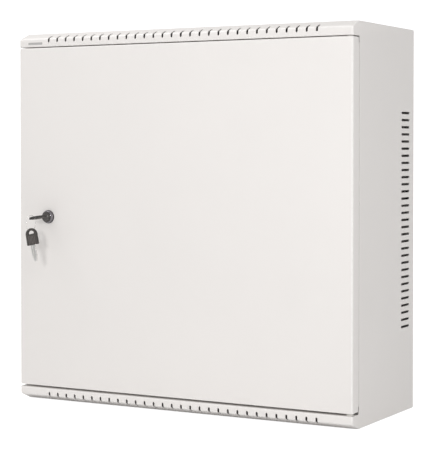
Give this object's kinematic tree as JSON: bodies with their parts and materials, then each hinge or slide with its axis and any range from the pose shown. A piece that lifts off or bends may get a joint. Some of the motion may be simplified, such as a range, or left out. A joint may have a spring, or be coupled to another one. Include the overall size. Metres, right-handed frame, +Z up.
{
  "type": "network rack cabinet",
  "caption": "Wall-mount sheet-steel 19 inch network cabinet with a hinged full-width pan door, slotted bands, side vents, key lock and inner rack rails.",
  "frame": {"origin": "centre of the rear outer face, which goes against the wall", "axes": "+X right seen from the front, +Y towards the wall, +Z up"},
  "size_m": [0.54, 0.2692, 0.544],
  "materials": {
    "powder_grey": "light grey fine powder coat",
    "zinc_steel": "zinc plated steel",
    "lock_metal": "dark nickel plated zinc",
    "spring_steel": "bright spring steel",
    "key_steel": "nickel plated key blank",
    "bow_plastic": "black moulded plastic",
    "bush_plastic": "natural nylon",
    "bumper_rubber": "black rubber"
  },
  "bodies": {
    "casing": {"top_panel": "powder_grey", "bottom_panel": "powder_grey", "side_panel_left": "powder_grey", "side_panel_right": "powder_grey", "back_panel": "powder_grey", "side_post_left": "powder_grey", "side_post_right": "powder_grey", "cable_cover_top": "powder_grey", "cable_cover_bottom": "powder_grey", "cover_screws": "zinc_steel", "rack_rail_left": "zinc_steel", "rack_rail_right": "zinc_steel", "rail_bracket_upper_left": "zinc_steel", "rail_bracket_upper_right": "zinc_steel", "rail_bracket_lower_left": "zinc_steel", "rail_bracket_lower_right": "zinc_steel", "rail_screws": "zinc_steel", "rail_nuts": "zinc_steel", "cage_nuts": "zinc_steel", "earth_stud_casing": "zinc_steel", "earth_nut_casing": "zinc_steel", "door_bumpers": "bumper_rubber", "hinge_pin_bottom": "zinc_steel", "hinge_bush_bottom": "bush_plastic"},
    "door": {"door_pan": "powder_grey", "door_stiffener": "powder_grey", "hinge_bracket_top": "zinc_steel", "hinge_bracket_bottom": "zinc_steel", "hinge_bush_top": "bush_plastic", "earth_stud_door": "zinc_steel", "earth_nut_door": "zinc_steel", "lock_barrel": "lock_metal", "lock_nut": "zinc_steel", "lock_washer": "zinc_steel"},
    "hinge_pin": {"hinge_pin_top": "zinc_steel", "hinge_pin_knob": "bow_plastic", "hinge_spring": "spring_steel"},
    "lock_core": {"lock_plug": "lock_metal", "lock_cam": "zinc_steel", "cam_screw": "zinc_steel"},
    "key": {"key_bow": "bow_plastic", "key_blade": "key_steel"},
    "ring": {"key_ring": "spring_steel"},
    "spare_key": {"spare_key_bow": "bow_plastic", "spare_key_blade": "key_steel"}
  },
  "joints": [
    {"name": "door_hinge", "type": "hinge", "parent": "casing", "child": "door", "pos_m": [0.262, -0.2035, 0], "axis": [0, 0, 1], "range_deg": [0, 170]},
    {"name": "top_pin_slide", "type": "slide", "parent": "door", "child": "hinge_pin", "axis": [0, 0, -1], "range_m": [0, 0.008], "stiffness_N_per_m": 400, "springref_m": -0.01, "deforming": ["hinge_spring"]},
    {"name": "lock_turn", "type": "hinge", "parent": "door", "child": "lock_core", "pos_m": [-0.218, -0.2135, 0.00125], "axis": [0, 1, 0], "range_deg": [0, 90]},
    {"name": "key_slide", "type": "slide", "parent": "lock_core", "child": "key", "axis": [0, 1, 0], "range_m": [-0.012, 0.008]},
    {"name": "ring_turn", "type": "hinge", "parent": "key", "child": "ring", "pos_m": [-0.218, -0.2574, -0.00625], "axis": [1, 0, 0], "range_deg": [-45, 35]},
    {"name": "spare_key_swing", "type": "hinge", "parent": "ring", "child": "spare_key", "pos_m": [-0.218, -0.2574, -0.01765], "axis": [0, 1, 0], "range_deg": [-30, 30]}
  ]
}
